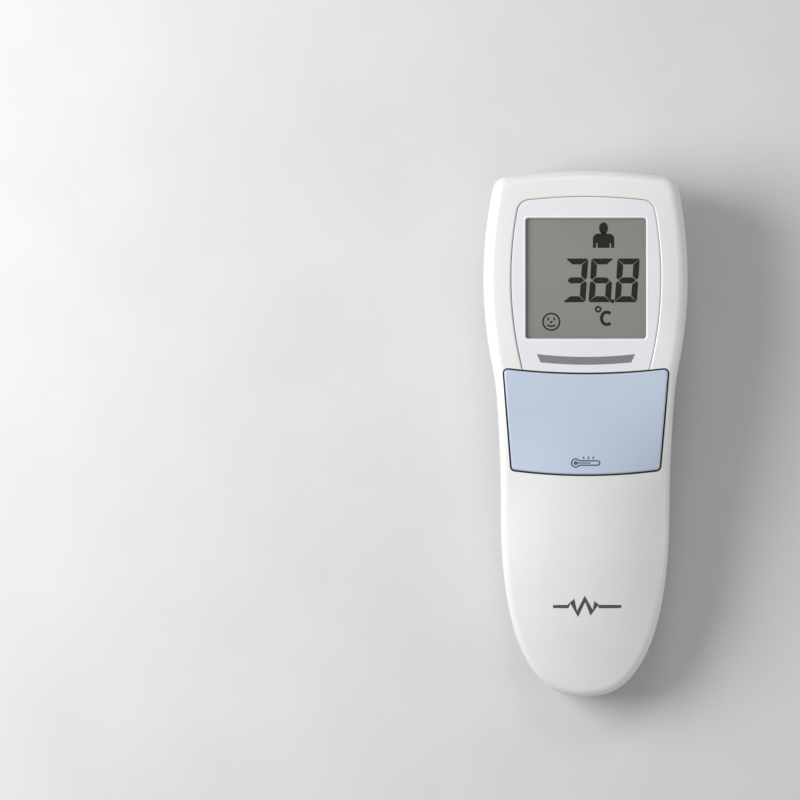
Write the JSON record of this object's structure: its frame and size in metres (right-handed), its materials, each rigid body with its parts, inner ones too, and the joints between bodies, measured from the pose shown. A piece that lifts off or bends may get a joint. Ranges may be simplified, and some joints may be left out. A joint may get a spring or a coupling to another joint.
{
  "type": "digital thermometer",
  "caption": "Handheld non-contact infrared forehead thermometer with a square display, a broad measuring button, a sensor barrel behind the head and a sliding battery door.",
  "frame": {"origin": "centre of the bounding box in plan, on the surface that the thermometer lies on", "axes": "+X to the right of the display, +Y from the tail to the top of the head, +Z out of the display"},
  "size_m": [0.0548, 0.142, 0.033],
  "materials": {
    "case_white": "fine satin moulded ABS",
    "panel_white": "smooth cool white",
    "button_blue": "smooth pearl light blue",
    "strip_grey": "smoked translucent light guide",
    "dark_rubber": "matte",
    "clear_window": "clear polished acrylic",
    "lcd": "grey-green liquid crystal cell",
    "white_film": "matte reflector film and holder",
    "zebra": "striped elastomer",
    "board_green": "solder mask",
    "chip_black": "moulded epoxy",
    "plated_steel": "nickel plated",
    "ceramic_tan": "ceramic chips",
    "sensor_dark": "light-absorbing funnel",
    "sleeve_brass": "turned",
    "sensor_filter": "silicon infrared window",
    "cell_jacket": "printed battery jacket",
    "wire_red": "silicone sleeve",
    "wire_black": "silicone sleeve"
  },
  "bodies": {
    "case": {"battery_left": "cell_jacket", "battery_right": "cell_jacket", "battery_tray": "chip_black", "battery_wire_black": "wire_black", "battery_wire_red": "wire_red", "board_screw_1": "plated_steel", "board_screw_2": "plated_steel", "board_screw_3": "plated_steel", "board_screw_4": "plated_steel", "buzzer": "chip_black", "capacitors": "ceramic_tan", "contact_bridge": "plated_steel", "contact_left": "plated_steel", "contact_right": "plated_steel", "crystal": "plated_steel", "display_panel": "panel_white", "display_window": "clear_window", "front_cover": "case_white", "housing_screw_left": "plated_steel", "housing_screw_right": "plated_steel", "indicator_leds": "white_film", "indicator_strip": "strip_grey", "lcd_frame": "white_film", "lcd_glass": "lcd", "lcd_reflector": "white_film", "main_board": "board_green", "memory_chip": "chip_black", "microcontroller": "chip_black", "rear_cover": "case_white", "sensor_can": "plated_steel", "sensor_collar": "case_white", "sensor_cone": "sensor_dark", "sensor_leads": "plated_steel", "sensor_retainer": "white_film", "sensor_sleeve": "sleeve_brass", "sensor_window": "sensor_filter", "spring_left": "plated_steel", "spring_right": "plated_steel", "switch_base": "plated_steel", "tray_screw_left": "plated_steel", "tray_screw_right": "plated_steel", "window_tape": "dark_rubber", "zebra_strip_lower": "zebra", "zebra_strip_upper": "zebra"},
    "button": {"measure_button": "button_blue", "button_seal": "dark_rubber"},
    "plunger": {"switch_plunger": "chip_black"},
    "door": {"battery_door": "case_white"}
  },
  "joints": [
    {"name": "measure_button_press", "type": "slide", "parent": "case", "child": "button", "axis": [0, 0, -1], "range_m": [0, 0.0005], "stiffness_N_per_m": 1500, "springref_m": -0.0005},
    {"name": "switch_plunger_press", "type": "slide", "parent": "case", "child": "plunger", "axis": [0, 0, -1], "range_m": [0, 0.0005]},
    {"name": "battery_door_slide", "type": "slide", "parent": "case", "child": "door", "axis": [0, -0.989, -0.1478], "range_m": [0, 0.072]}
  ],
  "couplings": [
    {"joint": "switch_plunger_press", "follows": "measure_button_press", "ratio": 1}
  ]
}
